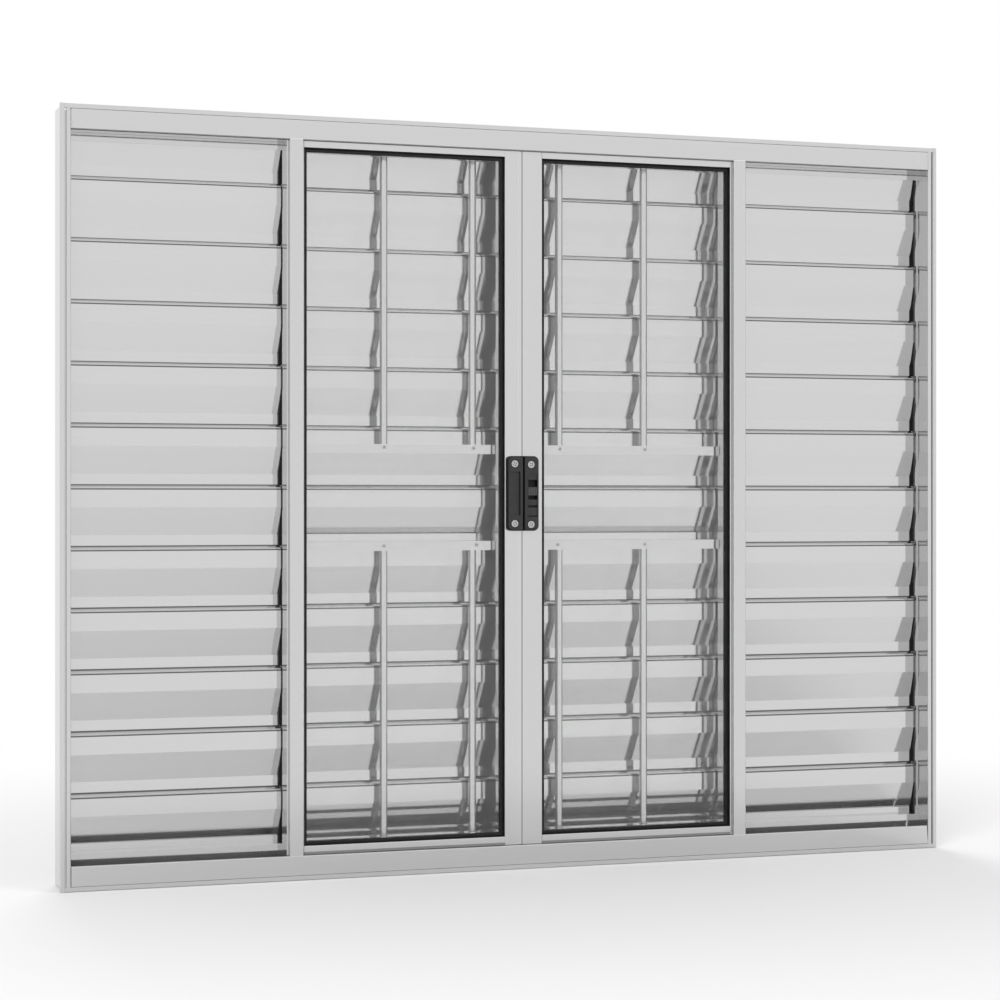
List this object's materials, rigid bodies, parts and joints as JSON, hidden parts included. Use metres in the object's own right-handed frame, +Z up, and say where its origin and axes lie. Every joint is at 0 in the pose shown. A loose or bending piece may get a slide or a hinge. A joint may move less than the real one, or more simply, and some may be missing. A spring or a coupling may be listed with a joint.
{
  "type": "shuttered sliding window",
  "caption": "Aluminium window with sliding glass leaves, closed shutter leaves behind them, a fixed security grille between and a black central latch.",
  "frame": {"origin": "on the sill's flat underside, at mid-width and mid-depth", "axes": "+X to the right as seen from the room, +Y outwards through the window, +Z up"},
  "size_m": [1.5, 0.087, 1.2],
  "materials": {
    "profile_aluminium": "bright, fine grain along each profile",
    "slat_aluminium": "polished, almost mirror-like, fine grain along the slats",
    "clear_glass": "clear",
    "gasket_rubber": "satin black",
    "seal_pile": "matt black",
    "latch_nylon": "fine-textured black"
  },
  "bodies": {
    "root": {"frame_head": "profile_aluminium", "frame_sill": "profile_aluminium", "grille_bars": "profile_aluminium", "grille_lower_rods": "profile_aluminium", "grille_upper_rods": "profile_aluminium", "latch_body": "latch_nylon", "latch_keeper": "latch_nylon", "latch_slider": "latch_nylon", "left_fixed_shutter_bottom_rail": "profile_aluminium", "left_fixed_shutter_inner_stile": "profile_aluminium", "left_fixed_shutter_outer_stile": "profile_aluminium", "left_fixed_shutter_slats": "slat_aluminium", "left_fixed_shutter_top_rail": "profile_aluminium", "left_jamb": "profile_aluminium", "left_mullion": "profile_aluminium", "left_sash_bottom_rail": "profile_aluminium", "left_sash_gasket": "gasket_rubber", "left_sash_glass": "clear_glass", "left_sash_meeting_stile": "profile_aluminium", "left_sash_outer_stile": "profile_aluminium", "left_sash_top_rail": "profile_aluminium", "left_sliding_shutter_bottom_rail": "profile_aluminium", "left_sliding_shutter_meeting_stile": "profile_aluminium", "left_sliding_shutter_outer_stile": "profile_aluminium", "left_sliding_shutter_slats": "slat_aluminium", "left_sliding_shutter_top_rail": "profile_aluminium", "right_fixed_shutter_bottom_rail": "profile_aluminium", "right_fixed_shutter_inner_stile": "profile_aluminium", "right_fixed_shutter_outer_stile": "profile_aluminium", "right_fixed_shutter_slats": "slat_aluminium", "right_fixed_shutter_top_rail": "profile_aluminium", "right_jamb": "profile_aluminium", "right_mullion": "profile_aluminium", "right_sash_bottom_rail": "profile_aluminium", "right_sash_gasket": "gasket_rubber", "right_sash_glass": "clear_glass", "right_sash_meeting_stile": "profile_aluminium", "right_sash_outer_stile": "profile_aluminium", "right_sash_top_rail": "profile_aluminium", "right_sliding_shutter_bottom_rail": "profile_aluminium", "right_sliding_shutter_meeting_stile": "profile_aluminium", "right_sliding_shutter_outer_stile": "profile_aluminium", "right_sliding_shutter_slats": "slat_aluminium", "right_sliding_shutter_top_rail": "profile_aluminium", "shutter_seals": "seal_pile"}
  },
  "joints": []
}
